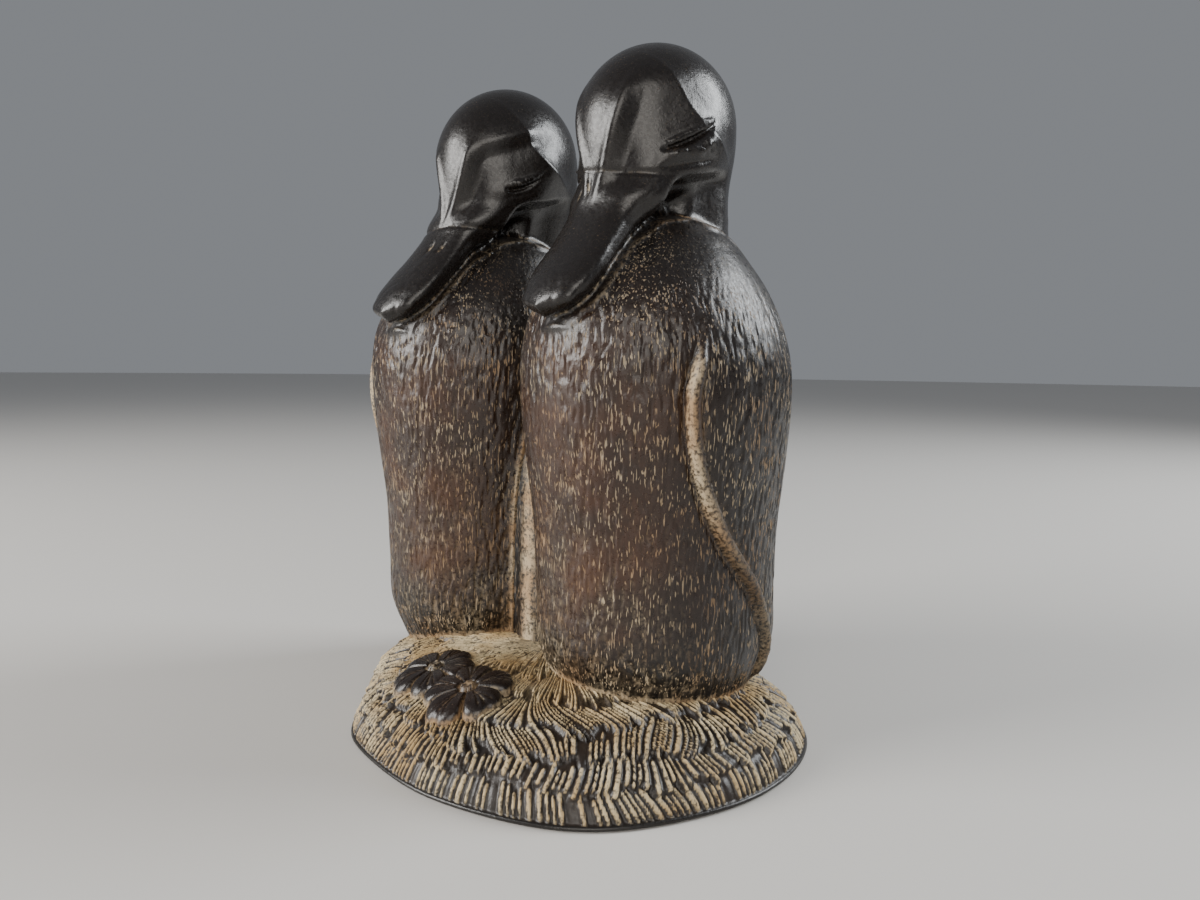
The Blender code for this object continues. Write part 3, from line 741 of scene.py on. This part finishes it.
def bill_rings(sides=32):
    """The rings round the bill's axis."""
    root, along, side, above = bill_axes()
    angle = np.arange(sides) * 2 * np.pi / sides
    rings = []
    for t, half, culmen, keel in BILL:
        if half > 0.2:
            tall = np.where(np.sin(angle) > 0, culmen, keel)
            across = np.outer(half * np.cos(angle), side)
            rings.append(root + along * t + across + np.outer(tall * np.sin(angle), above))
    return rings


def egg_points(middle, half, tilt=0.0):
    """Rings of an ellipsoid, from its bottom to its top."""
    angle = np.arange(32) * 2 * np.pi / 32
    rings = []
    for rung in np.linspace(-84.0, 84.0, 15):
        flat = np.cos(np.radians(rung))
        tall = np.full(len(angle), np.sin(np.radians(rung)))
        ring = np.column_stack((np.cos(angle) * flat, np.sin(angle) * flat, tall))
        rings.append(turned(ring * half, (0, 0, 0), -tilt, 0) + middle)
    return rings


def rough_head(bird):
    """A rough object of closed forms that overlap: the shoulders, the neck, the head and the bill."""
    bm = bmesh.new()
    skin(bm, [to_world(ring, bird) for ring in pile_rings([row for row in BODY if row[0] >= 50.0])])
    skin(bm, [to_world(ring, bird) for ring in pile_rings(NECK[1:])])
    skin(bm, [to_world(ring, bird, True) for ring in egg_points(HEAD_MIDDLE, HEAD_HALF, HEAD_TILT)])
    skin(bm, [to_world(ring, bird, True) for ring in bill_rings()])
    bmesh.ops.triangulate(bm, faces=bm.faces)
    bmesh.ops.recalc_face_normals(bm, faces=bm.faces)
    mesh = bpy.data.meshes.new("rough")
    bm.to_mesh(mesh)
    bm.free()
    rough = bpy.data.objects.new("rough", mesh)
    bpy.context.scene.collection.objects.link(rough)
    return rough


def one_skin(rough, size):
    """Gives an object one skin of voxels of a size, and returns the skin's points."""
    remesh = rough.modifiers.new("one skin", "REMESH")
    remesh.mode = "VOXEL"
    remesh.voxel_size = size
    graph = bpy.context.evaluated_depsgraph_get()
    graph.update()
    rough.data = bpy.data.meshes.new_from_object(rough.evaluated_get(graph))
    rough.modifiers.remove(remesh)
    points = np.empty(len(rough.data.vertices) * 3)
    rough.data.vertices.foreach_get("co", points)
    return points.reshape(-1, 3)


def head_piece(name, bird, other, material):
    """A bird's head, bill and neck: one skin over rough forms, settled on the carved field."""

    def level(p):
        return carved_bird(p, bird, other)[0] * UNIT

    rough = rough_head(bird)
    for size, steps in HEAD_PASSES:
        points = one_skin(rough, size)
        q = bird_frame(points, bird)
        live = q[:, 2] > neck_cut(q) - 4.0
        points[live] = settle(points[live], level, steps)
        rough.data.vertices.foreach_set("co", points.ravel())
        rough.data.update()
    corners = np.empty(len(rough.data.polygons) * 4, int)
    rough.data.polygons.foreach_get("vertices", corners)
    faces = corners.reshape(-1, 4)
    bpy.data.objects.remove(rough)

    # What is below the cut goes, and the edge that laps into the body is tucked in
    q = bird_frame(points, bird)
    over = q[:, 2] - neck_cut(q)
    keep = (over[faces] > -NECK_LAP).all(axis=1)
    used, faces = np.unique(faces[keep], return_inverse=True)
    points = points[used]
    tuck = np.clip(-over[used], 0.0, NECK_LAP) * NECK_TUCK
    inward = q[used] * (-1.0, -1.0, 0.0)
    inward = inward / np.maximum(np.linalg.norm(inward, axis=1), 1e-6)[:, None]
    marks = carved_bird(points, bird, other)[1:]
    points = points + inward * tuck[:, None] * UNIT
    return piece(name, points, faces.reshape(-1, 4).tolist(), marks, material)


def web_piece(material):
    """The stone between the birds' sides, which swells into both of them."""
    turn = np.linspace(-np.pi, np.pi, WEB_COLUMNS, endpoint=False)
    angle, up = [a.ravel() for a in np.meshgrid(turn, np.linspace(0.05, 1.0, WEB_ROWS))]
    z = np.sin(up * np.pi / 2 * 0.985)
    flat = np.sqrt(1.0 - z * z)
    ball = np.column_stack((np.sin(angle) * flat, -np.cos(angle) * flat, z))
    points = ball * WEB_HALF + WEB_MIDDLE

    def level(p):
        pair = np.minimum(plain_bird(p, NEAR_BIRD)[0], plain_bird(p, FAR_BIRD)[0])
        own = web_field(p)
        return (own - fillet(own, pair, WEB_CREASE)) * UNIT

    points = settle(points, level, 9)
    height = (points[:, 2] - STANDING_LEVEL) / UNIT
    cuts = feather_strokes(angle * 0.4, height, 21.0)
    points = points - ball * (STROKE_DEPTH * cuts * UNIT)[:, None]
    crease = groove(points[:, 0] - WEB_MIDDLE[0], 0.0018)
    dust_and_sheen = 0.15 * cuts + 0.60 * crease + 0.10 * noise(angle * 6, height / 2, 22.0)
    marks = (np.clip(dust_and_sheen, 0, 1), np.zeros(len(dust_and_sheen)), np.full(len(dust_and_sheen), 0.4), np.full(len(dust_and_sheen), 0.5))
    return piece("web", points, ring_faces(WEB_ROWS, WEB_COLUMNS), marks, material)


# Grass: the blades' pitch, in the upper tiers too, their height, how proud a tier's lower end stands, and
# how ragged it is
GRASS_PITCH = 0.00120
GRASS_FINE = 0.00095
GRASS_CUT = 0.00062
GRASS_SHELF = 0.00045
GRASS_RAGGED = 0.085

# How far down the grass is where no blade stands, how much further the last tier hangs, how many of the
# upper tiers have finer blades, which tiers lean most, and how far out the blades' pitch is measured
GRASS_FLOOR = -0.00065
GRASS_HEM = 0.10
FINE_TIERS = 3
LEANING_TIERS = (3, 4)
GRASS_REACH = 0.043

# The lip's rings: their height and the share of the way out to the mound's edge
LIP_RINGS = ((0.0, 0.978), (0.00015, 0.990), (0.55 * MOUND_LIP, 0.997), (MOUND_LIP, 0.990))


def tier_wave(angle, tier):
    """How far the edge of a tier of grass waves up and down the side."""
    return 0.012 * np.sin(5 * angle + 2.0 * tier) + 0.010 * np.sin(11 * angle + tier)


def mound_slope(down, angle):
    """The point of the mound's side at a share of the way down, and the way out of it."""
    steep = np.clip(down, 0.0, 1.0) * np.pi / 2
    share = TIER_SHARE * np.sin(steep) ** (2 / MOUND_POWER)
    z = MOUND_HEIGHT * np.cos(steep)
    x, y = on_mound(share, angle)
    flat = np.maximum(np.hypot(x, y), 1e-6)
    out = MOUND_POWER * share ** (MOUND_POWER - 1) / flat
    up = 2 * z / MOUND_HEIGHT ** 2
    size = np.maximum(np.hypot(out, up), 1e-9)
    normal = np.column_stack((x / flat * out / size, y / flat * out / size, up / size))
    return np.column_stack((x, y, z)), normal


def pick(number, seed):
    """A random number from 0 to 1 for each whole number."""
    value = np.sin(number * 91.7 + seed * 37.3) * 4375.85
    return value - np.floor(value)


def grass_carving(down, angle, slide_at):
    """How far the ragged tiers of chiselled grass stand out, and how much of a blade is there."""
    height = np.full(len(down), GRASS_FLOOR)
    ridge = np.zeros(len(down))
    slide = slide_at(down)
    around = 2 * np.pi * GRASS_REACH
    for tier, edge in enumerate(GRASS_TIERS):
        finer = tier < FINE_TIERS
        low = edge + tier_wave(angle, tier)
        high = GRASS_TIERS[tier - 1] + tier_wave(angle, tier - 1) if tier else np.full(len(down), -0.2)
        if tier == len(GRASS_TIERS) - 1:
            low = low + GRASS_HEM

        # Which blade a point is on, and how far off its middle
        lean = 0.75 * np.sin(3 * angle + 2.1 * tier) + 0.35 * np.sin(7 * angle + 1.3 * tier)
        lean = (lean + 0.20 * np.sin(13 * angle + 2.9 * tier)) * (1.0 if tier in LEANING_TIERS else 0.4)
        across = angle * GRASS_REACH + lean * (slide - slide_at((low + high) / 2))
        across = across + 0.00012 * np.sin(slide / 0.0016 + 5 * angle + tier)
        count = round(around / (GRASS_FINE if finer else GRASS_PITCH))
        place = across / around * count
        place = place + 0.25 * np.sin(count / 5 * 2 * np.pi * across / around + tier)
        blade = np.floor(place) % count
        middle = np.abs(2 * (place - np.floor(place)) - 1.0)

        # The blade's width, ends and height
        wide = 0.50 + 0.34 * pick(blade, tier + 0.1)
        body = np.clip(1.0 - (middle / wide) ** 2.0, 0.0, 1.0)
        end = low + GRASS_RAGGED * (pick(blade, tier + 0.2) - 0.45)
        start = high - 0.02 + 0.8 * GRASS_RAGGED * (pick(blade, tier + 0.3) - 0.6)
        there = rise(down, start, start + 0.05) * (1.0 - rise(down, end - 0.03, end))
        within = np.clip((low - down) / np.maximum(low - high, 1e-6), -0.3, 1.2)
        fine = 0.6 if finer else 1.0
        tall = (0.7 + 0.3 * pick(blade, tier + 0.4)) * (1.0 - 0.75 * (pick(blade, tier + 0.5) < 0.08))
        stand = GRASS_SHELF * fine * (0.9 - 1.5 * within) + GRASS_CUT * fine * (tall * body - 0.55)
        stand = stand * there + GRASS_FLOOR * (1.0 - there)
        over = stand > height
        height = np.where(over, stand, height)
        ridge = np.where(over, body * there * tall, ridge)
    return height, ridge


def mound_piece(material):
    """The mound: a smooth lip at the bottom and chiselled grass all the way up."""
    turn = np.linspace(-np.pi, np.pi, MOUND_COLUMNS, endpoint=False)
    steps = np.linspace(0.02, 1.0, 400)
    steep = steps * np.pi / 2
    side = np.column_stack((GRASS_REACH * np.sin(steep) ** (2 / MOUND_POWER), MOUND_HEIGHT * np.cos(steep)))
    length = np.concatenate(((0.0,), np.cumsum(np.linalg.norm(np.diff(side, axis=0), axis=1))))
    share = np.linspace(0.0, 1.0, MOUND_ROWS - len(LIP_RINGS))
    even = 0.25 * share + 0.75 * share ** 0.75

    def slide_at(down):
        return np.interp(down, steps, length)

    downs = np.interp(even * length[-1], length, steps)[::-1] * 0.96
    angle, down = [a.ravel() for a in np.meshgrid(turn, downs)]
    slide = slide_at(down)
    points, normal = mound_slope(down, angle)
    height, ridge = grass_carving(down, angle, slide_at)
    height = height * rise(down, 0.03, 0.12) * (1.0 - rise(down, 0.93, 0.97))
    points = points + normal * height[:, None]
    lips = []
    for z, inset in LIP_RINGS:
        x, y = on_mound(inset, turn)
        lips.append(np.column_stack((x, y, np.full(len(turn), z))))
    points = np.vstack((*lips, points))
    faces = ring_faces(MOUND_ROWS, MOUND_COLUMNS)
    faces.append(list(range(MOUND_COLUMNS))[::-1])
    faces.append(list(range((MOUND_ROWS - 1) * MOUND_COLUMNS, MOUND_ROWS * MOUND_COLUMNS)))
    patch = noise(angle * 3.0, slide / 0.006, 41.0)
    speck = noise(angle * GRASS_REACH / 0.0009, slide / 0.0012, 42.0)
    dust_and_sheen = rise(ridge, 0.22, 0.70) * (0.65 + 0.35 * patch) * (0.75 + 0.25 * speck)
    dust_and_sheen = dust_and_sheen * (1.0 - 0.6 * rise(down, 0.88, 0.97)) + 0.30 * (1.0 - rise(down, 0.2, 0.45))
    lip = np.zeros(len(LIP_RINGS) * len(turn))
    dust_and_sheen = np.concatenate((lip, np.clip(dust_and_sheen, 0.0, 1.0)))
    warm = np.concatenate((lip, 0.3 + 0.5 * (1.0 - rise(down, 0.15, 0.5))))
    polish = np.concatenate((lip + 0.6, np.zeros(len(down))))
    return piece("grass_mound", points, faces, (dust_and_sheen, warm, polish, np.zeros(len(dust_and_sheen))), material)


def flower_piece(name, middle, size, turn, material):
    """An open flower of veined, notched petals round a rough button, laid on the mound's slope."""
    around = np.linspace(0.0, 2 * np.pi, FLOWER_COLUMNS, endpoint=False)
    angle, out = [a.ravel() for a in np.meshgrid(around, np.linspace(1.06, 0.0, FLOWER_ROWS))]
    wave = np.cos(PETALS * angle / 2)
    across = np.abs(wave)
    outline = 0.42 + 0.62 * across ** 0.22 - 0.07 * across ** 24
    share = np.minimum(out, 1.0)
    button = 1.0 - rise(share, 0.13, 0.20)
    reach = FLOWER_RADIUS * size * share * (button + outline * (1.0 - button))
    x = middle[0] + reach * np.cos(angle + np.radians(turn))
    y = middle[1] + reach * np.sin(angle + np.radians(turn))
    local = (angle * PETALS / (2 * np.pi) + 0.5) % 1.0 - 0.5
    vein = groove(local, 0.035) + 0.7 * groove(np.abs(local) - 0.17 * share, 0.03)
    vein = np.clip(vein, 0.0, 1.0) * rise(share, 0.22, 0.4) * (1.0 - rise(share, 0.80, 0.97))
    dome = np.sqrt(np.clip(1.0 - share ** 6, 0.0, 1.0)) * (0.70 + 0.40 * share)
    valley = groove(across, 0.16) * rise(share, 0.15, 0.35)
    petal = dome - 0.55 * valley - 0.16 * vein
    bumps = noise(x / 0.0007, y / 0.0007, size * 10)
    ring = groove(share - 0.21, 0.045)
    petal = petal - 0.35 * ring + button * (0.05 + 0.35 * bumps)
    height = np.where(out > 1.0, -1.7, petal)
    z = mound_top(x, y) + FLOWER_DEPTH * height
    points = np.column_stack((x, y, z))
    faces = ring_faces(FLOWER_ROWS, FLOWER_COLUMNS)
    dust_and_sheen = 0.70 * valley + 0.5 * ring + 0.6 * button * bumps + 0.30 * vein + 0.5 * rise(share, 0.95, 1.0)
    flat = np.zeros(len(dust_and_sheen))
    return piece(name, points, faces, (np.clip(dust_and_sheen, 0, 1), flat + 0.15, flat + 0.75, flat), material)


def link_value(tree, a, operation, b, clamp=False):
    """A maths node over two inputs, each a socket or a number."""
    node = tree.nodes.new("ShaderNodeMath")
    node.operation = operation
    node.use_clamp = clamp
    for socket, value in zip(node.inputs, (a, b)):
        if isinstance(value, (int, float)):
            socket.default_value = value
        else:
            tree.links.new(value, socket)
    return node.outputs[0]


def mixed(tree, factor, a, b):
    """A colour between two colours, each a socket or three numbers."""
    node = tree.nodes.new("ShaderNodeMix")
    node.data_type = "RGBA"
    tree.links.new(factor, node.inputs["Factor"])
    for socket, value in ((node.inputs[6], a), (node.inputs[7], b)):
        if isinstance(value, tuple):
            socket.default_value = (*value, 1.0)
        else:
            tree.links.new(value, socket)
    return node.outputs[2]


def ramped(tree, value, low, high, to_low, to_high):
    """A value carried smoothly from one range to another."""
    node = tree.nodes.new("ShaderNodeMapRange")
    node.interpolation_type = "SMOOTHSTEP"
    tree.links.new(value, node.inputs["Value"])
    for label, number in (("From Min", low), ("From Max", high), ("To Min", to_low), ("To Max", to_high)):
        node.inputs[label].default_value = number
    return node.outputs["Result"]


def mottle(tree, place, scale, detail):
    """Noise over a place, as a value."""
    node = tree.nodes.new("ShaderNodeTexNoise")
    node.inputs["Scale"].default_value = scale
    node.inputs["Detail"].default_value = detail
    node.inputs["Roughness"].default_value = 0.6
    tree.links.new(place, node.inputs["Vector"])
    return node.outputs["Fac"]


def soapstone(name, stone, brown, cream, tan, bump):
    """Dark polished stone with brown clouds, fine pits, and pale stone dust where the marks put it; the marks
    also paint highlights in the pale colours and a warm reflection in the brown.
    """
    material = bpy.data.materials.new(name)
    material.use_nodes = True
    tree = material.node_tree
    shader = tree.nodes["Principled BSDF"]
    place = tree.nodes.new("ShaderNodeTexCoord").outputs["Object"]
    marks = {}
    for label in MARKS:
        node = tree.nodes.new("ShaderNodeAttribute")
        node.attribute_name = label
        marks[label] = node.outputs["Fac"]
    cloud = mottle(tree, place, 90.0, 3.0)
    grain = mottle(tree, place, 1500.0, 3.0)
    fleck = mottle(tree, place, 4200.0, 2.0)
    # Pale powder, which also carries the painted highlights on the eyes and wing rims
    powder_and_sheen = link_value(tree, marks["dust_and_sheen"], "MULTIPLY", ramped(tree, grain, 0.30, 0.62, 0.35, 1.25))
    powder_and_sheen = ramped(tree, powder_and_sheen, 0.08, 0.80, 0.0, 1.0)
    pits = ramped(tree, fleck, 0.66, 0.74, 0.0, 1.0)
    pits = link_value(tree, pits, "MULTIPLY", ramped(tree, cloud, 0.35, 0.65, 0.05, 0.30))
    powder_and_sheen = link_value(tree, powder_and_sheen, "MAXIMUM", pits, True)
    stretch = tree.nodes.new("ShaderNodeVectorMath")
    stretch.operation = "MULTIPLY"
    stretch.inputs[1].default_value = (1.0, 1.0, 0.14)
    tree.links.new(place, stretch.inputs[0])
    dashes = mottle(tree, stretch.outputs[0], 3300.0, 1.0)
    patches = mottle(tree, place, 260.0, 2.0)
    dashes = link_value(tree, dashes, "ADD", ramped(tree, patches, 0.3, 0.7, -0.05, 0.05))
    dashes = link_value(tree, ramped(tree, dashes, 0.60, 0.68, 0.0, 1.0), "MULTIPLY", marks["dash"])
    powder_and_sheen = link_value(tree, powder_and_sheen, "MAXIMUM", link_value(tree, dashes, "MULTIPLY", 0.9), True)
    # Brown clouds, which on the birds' chests also paint a warm reflection
    glow = link_value(tree, marks["warm"], "MULTIPLY", ramped(tree, cloud, 0.30, 0.70, 0.35, 1.0))
    base = mixed(tree, glow, stone, brown)
    pale = mixed(tree, ramped(tree, cloud, 0.35, 0.65, 0.0, 1.0), cream, tan)
    tree.links.new(mixed(tree, powder_and_sheen, base, pale), shader.inputs["Base Color"])
    shiny = ramped(tree, marks["polish"], 0.0, 1.0, 0.38, 0.27)
    shiny = link_value(tree, shiny, "ADD", ramped(tree, grain, 0.3, 0.7, -0.05, 0.07))
    rough = link_value(tree, shiny, "ADD", link_value(tree, powder_and_sheen, "MULTIPLY", 0.5), True)
    tree.links.new(rough, shader.inputs["Roughness"])
    dents = tree.nodes.new("ShaderNodeBump")
    dents.inputs["Strength"].default_value = bump
    dents.inputs["Distance"].default_value = 0.0002
    height = link_value(tree, mottle(tree, place, 700.0, 2.0), "MULTIPLY", 0.7)
    height = link_value(tree, height, "ADD", link_value(tree, fleck, "MULTIPLY", 0.3))
    height = link_value(tree, height, "SUBTRACT", link_value(tree, dashes, "MULTIPLY", 0.8))
    tree.links.new(height, dents.inputs["Height"])
    tree.links.new(dents.outputs["Normal"], shader.inputs["Normal"])
    return material


def plain(name, colour, roughness):
    """A material of one colour."""
    material = bpy.data.materials.new(name)
    material.use_nodes = True
    shader = material.node_tree.nodes["Principled BSDF"]
    shader.inputs["Base Color"].default_value = (*colour, 1.0)
    shader.inputs["Roughness"].default_value = roughness
    return material


# Studio: the floor's colour, roughness and radius, the surrounding's colour and strength, and the lamps,
# each with its place, size, power and colour, all aimed at one point
FLOOR_COLOUR = (0.62, 0.60, 0.57)
FLOOR_ROUGHNESS = 0.55
FLOOR_RADIUS = 4.0
SKY_COLOUR = (0.80, 0.84, 0.90, 1.0)
SKY_STRENGTH = 0.28
LAMPS = (
    ("key", (-0.46, -0.60, 0.33), 0.46, 9.5, (1.0, 0.98, 0.95)),
    ("fill", (0.55, -0.70, 0.40), 0.60, 4.5, (1.0, 0.95, 0.88)),
    ("rim", (0.45, 0.55, 0.50), 0.40, 7.0, (0.95, 0.98, 1.0)),
)
LAMP_AIM = mathutils.Vector((0.0, 0.0, 0.06))


def stand_and_lights():
    """A pale floor, soft studio lamps and a pale surrounding."""
    bm = bmesh.new()
    bmesh.ops.create_circle(bm, cap_ends=True, segments=96, radius=FLOOR_RADIUS)
    mesh = bpy.data.meshes.new("floor")
    bm.to_mesh(mesh)
    bm.free()
    mesh.materials.append(plain("pale floor", FLOOR_COLOUR, FLOOR_ROUGHNESS))
    floor = bpy.data.objects.new("floor", mesh)
    bpy.context.scene.collection.objects.link(floor)
    world = bpy.data.worlds.new("studio")
    world.use_nodes = True
    sky = world.node_tree.nodes["Background"]
    sky.inputs["Color"].default_value = SKY_COLOUR
    sky.inputs["Strength"].default_value = SKY_STRENGTH
    bpy.context.scene.world = world
    for name, spot, size, power, colour in LAMPS:
        lamp = bpy.data.lights.new(name, "AREA")
        lamp.size = size
        lamp.energy = power
        lamp.color = colour
        obj = bpy.data.objects.new(name, lamp)
        obj.location = spot
        obj.rotation_euler = (LAMP_AIM - obj.location).to_track_quat("-Z", "Y").to_euler()
        bpy.context.scene.collection.objects.link(obj)


# Camera: place in metres, turn in degrees and lens in millimetres, from the photo's fitted view
CAMERA_PLACE = (0.11767, -0.12631, 0.0685)
CAMERA_TURN = (84.4, -0.697, 39.768)
CAMERA_LENS = 27.03


def camera():
    """The camera, in the photograph's place."""
    data = bpy.data.cameras.new("camera")
    data.lens = CAMERA_LENS
    data.sensor_width = 36.0
    data.clip_start = 0.005
    obj = bpy.data.objects.new("camera", data)
    obj.location = CAMERA_PLACE
    obj.rotation_euler = np.radians(CAMERA_TURN)
    bpy.context.scene.collection.objects.link(obj)
    bpy.context.scene.camera = obj


# Stones: the colours of the stone, its brown clouds, which also paint a warm reflection on the birds' chests,
# its pale and tan dust, which also paints highlights on the birds, and how strong its dents are
BIRD_STONE = ((0.0070, 0.0050, 0.0042), (0.050, 0.019, 0.007), (0.50, 0.40, 0.26), (0.36, 0.23, 0.12), 0.50)
GRASS_STONE = ((0.010, 0.008, 0.0065), (0.050, 0.028, 0.015), (0.60, 0.49, 0.30), (0.47, 0.32, 0.15), 0.60)


def main():
    """Builds the carving, its stand and the camera."""
    stone = soapstone("soapstone", *BIRD_STONE)
    grass = soapstone("chiselled soapstone", *GRASS_STONE)
    body_piece("duck_near_body", NEAR_BIRD, FAR_BIRD, stone)
    body_piece("duck_far_body", FAR_BIRD, NEAR_BIRD, stone)
    head_piece("duck_near_head", NEAR_BIRD, FAR_BIRD, stone)
    head_piece("duck_far_head", FAR_BIRD, NEAR_BIRD, stone)
    web_piece(stone)
    mound_piece(grass)
    for name, middle, size, turn in FLOWERS:
        flower_piece(name, middle, size, turn, stone)
    stand_and_lights()
    camera()


main()
